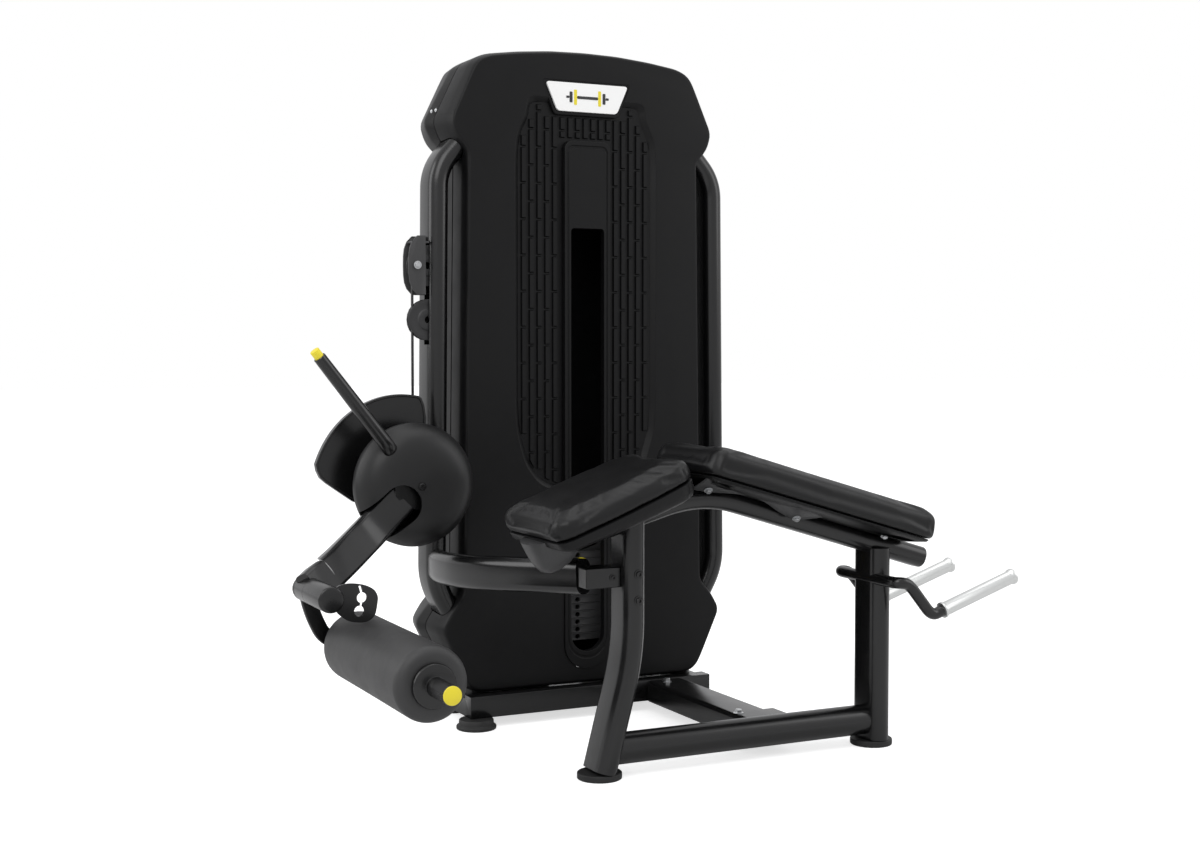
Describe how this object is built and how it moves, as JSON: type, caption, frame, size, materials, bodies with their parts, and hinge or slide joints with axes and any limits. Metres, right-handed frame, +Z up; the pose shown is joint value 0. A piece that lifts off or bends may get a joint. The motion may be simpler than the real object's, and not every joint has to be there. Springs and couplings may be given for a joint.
{
  "type": "prone leg curl machine",
  "caption": "Prone leg curl machine: inverted-V bench, swinging ankle-roller arm on a cam, side hand grips and a shrouded weight-stack tower with selector pin.",
  "frame": {"origin": "middle of the bounding box of the footprint, on the floor", "axes": "+X along the bench towards the hand grips, +Y from the bench towards the tower, +Z up"},
  "size_m": [1.4572, 1.021, 1.5],
  "materials": {
    "black_frame_paint": "smooth gloss powder coat",
    "black_cover_plastic": "satin moulded plastic",
    "charcoal_machined_paint": "satin enamel",
    "black_vinyl": "fine-grained upholstery vinyl",
    "black_foam_skin": "smooth closed-cell foam skin",
    "silver_grip_metal": "fine knurled, bright",
    "bright_rod_steel": "polished",
    "black_cable_coating": "smooth nylon jacket",
    "black_pulley_nylon": "turned nylon",
    "white_badge_plastic": "gloss enamel",
    "yellow_plastic": "satin moulded plastic",
    "black_rubber": "ribbed rubber"
  },
  "bodies": {
    "frame": {"tower_base_frame": "black_frame_paint", "right_side_column": "black_frame_paint", "left_side_column": "black_frame_paint", "top_crossmember": "black_frame_paint", "front_cover": "black_cover_plastic", "rear_cover": "black_cover_plastic", "window_frame": "black_cover_plastic", "name_badge": "white_badge_plastic", "top_pulley_bracket": "charcoal_machined_paint", "side_pulley_bracket": "charcoal_machined_paint", "pivot_bracket": "black_frame_paint", "guide_rod_left": "bright_rod_steel", "guide_rod_right": "bright_rod_steel", "tower_foot_front_left": "black_rubber", "tower_foot_front_right": "black_rubber", "tower_foot_rear_left": "black_rubber", "tower_foot_rear_right": "black_rubber", "weight_plate_01": "charcoal_machined_paint", "weight_plate_02": "charcoal_machined_paint", "weight_plate_03": "charcoal_machined_paint", "weight_plate_04": "charcoal_machined_paint", "weight_plate_05": "charcoal_machined_paint", "weight_plate_06": "charcoal_machined_paint", "weight_plate_07": "charcoal_machined_paint", "weight_plate_08": "charcoal_machined_paint", "weight_plate_09": "charcoal_machined_paint", "weight_plate_10": "charcoal_machined_paint", "stack_cable": "black_cable_coating", "drive_cable": "black_cable_coating", "left_leg": "black_frame_paint", "right_leg": "black_frame_paint", "lower_rail": "black_frame_paint", "connecting_rail": "black_frame_paint", "support_tube": "black_frame_paint", "bench_spine": "black_frame_paint", "thigh_pad": "black_vinyl", "thigh_pad_shell": "black_cover_plastic", "chest_pad": "black_vinyl", "chest_pad_shell": "black_cover_plastic", "handle_bar": "black_frame_paint", "grip_near": "silver_grip_metal", "grip_far": "silver_grip_metal"},
    "stack": {"head_plate": "charcoal_machined_paint", "weight_plate_11": "charcoal_machined_paint", "weight_plate_12": "charcoal_machined_paint", "selector_rod": "bright_rod_steel"},
    "pin": {"selector_pin": "yellow_plastic"},
    "top_pulley": {"top_pulley": "black_pulley_nylon"},
    "side_pulley_upper": {"side_pulley_upper": "black_pulley_nylon"},
    "side_pulley_lower": {"side_pulley_lower": "black_pulley_nylon"},
    "cam": {"drive_cam": "black_frame_paint"},
    "arm": {"swing_arm": "black_frame_paint", "disc_cover": "black_cover_plastic", "start_lever": "black_frame_paint"},
    "button": {"release_button": "yellow_plastic"},
    "roller_carrier": {"roller_link": "black_frame_paint", "adjuster_plate": "black_frame_paint", "roller_axle": "black_frame_paint", "axle_end_cap": "yellow_plastic"},
    "roller": {"roller_foam": "black_foam_skin"}
  },
  "joints": [
    {"name": "arm_swing", "type": "hinge", "parent": "frame", "child": "cam", "pos_m": [-0.42459, 0.3415, 0.547], "axis": [0, 1, 0], "range_deg": [0, 110]},
    {"name": "start_adjust", "type": "hinge", "parent": "cam", "child": "arm", "pos_m": [-0.42459, 0.2455, 0.547], "axis": [0, 1, 0], "range_deg": [0, 40]},
    {"name": "start_release_button", "type": "slide", "parent": "arm", "child": "button", "axis": [0.6316, 0.1053, -0.7681], "range_m": [0, 0.007], "stiffness_N_per_m": 400},
    {"name": "roller_adjust", "type": "hinge", "parent": "arm", "child": "roller_carrier", "pos_m": [-0.70359, 0.0155, 0.367], "axis": [0, 1, 0], "range_deg": [-25, 50]},
    {"name": "roller_spin", "type": "hinge", "parent": "roller_carrier", "child": "roller", "pos_m": [-0.61259, -0.1975, 0.254], "axis": [0, 1, 0], "continuous": true},
    {"name": "stack_lift", "type": "slide", "parent": "frame", "child": "stack", "axis": [0, 0, 1], "range_m": [0, 0.19], "deforming": ["stack_cable"]},
    {"name": "selector_pin_pull", "type": "slide", "parent": "stack", "child": "pin", "axis": [0, -1, 0], "range_m": [0, 0.07]},
    {"name": "top_pulley_spin", "type": "hinge", "parent": "frame", "child": "top_pulley", "pos_m": [0.05841, 0.4035, 1.272], "axis": [0, 1, 0], "continuous": true},
    {"name": "side_pulley_upper_spin", "type": "hinge", "parent": "frame", "child": "side_pulley_upper", "pos_m": [-0.34359, 0.3415, 1.013], "axis": [0, 1, 0], "continuous": true},
    {"name": "side_pulley_lower_spin", "type": "hinge", "parent": "frame", "child": "side_pulley_lower", "pos_m": [-0.34359, 0.3415, 0.895], "axis": [0, 1, 0], "continuous": true}
  ],
  "couplings": [
    {"joint": "stack_lift", "follows": "arm_swing", "m_per_rad": 0.094},
    {"joint": "top_pulley_spin", "follows": "arm_swing", "ratio": 2.7647},
    {"joint": "side_pulley_upper_spin", "follows": "arm_swing", "ratio": -1.3824},
    {"joint": "side_pulley_lower_spin", "follows": "arm_swing", "ratio": -1.3824}
  ]
}
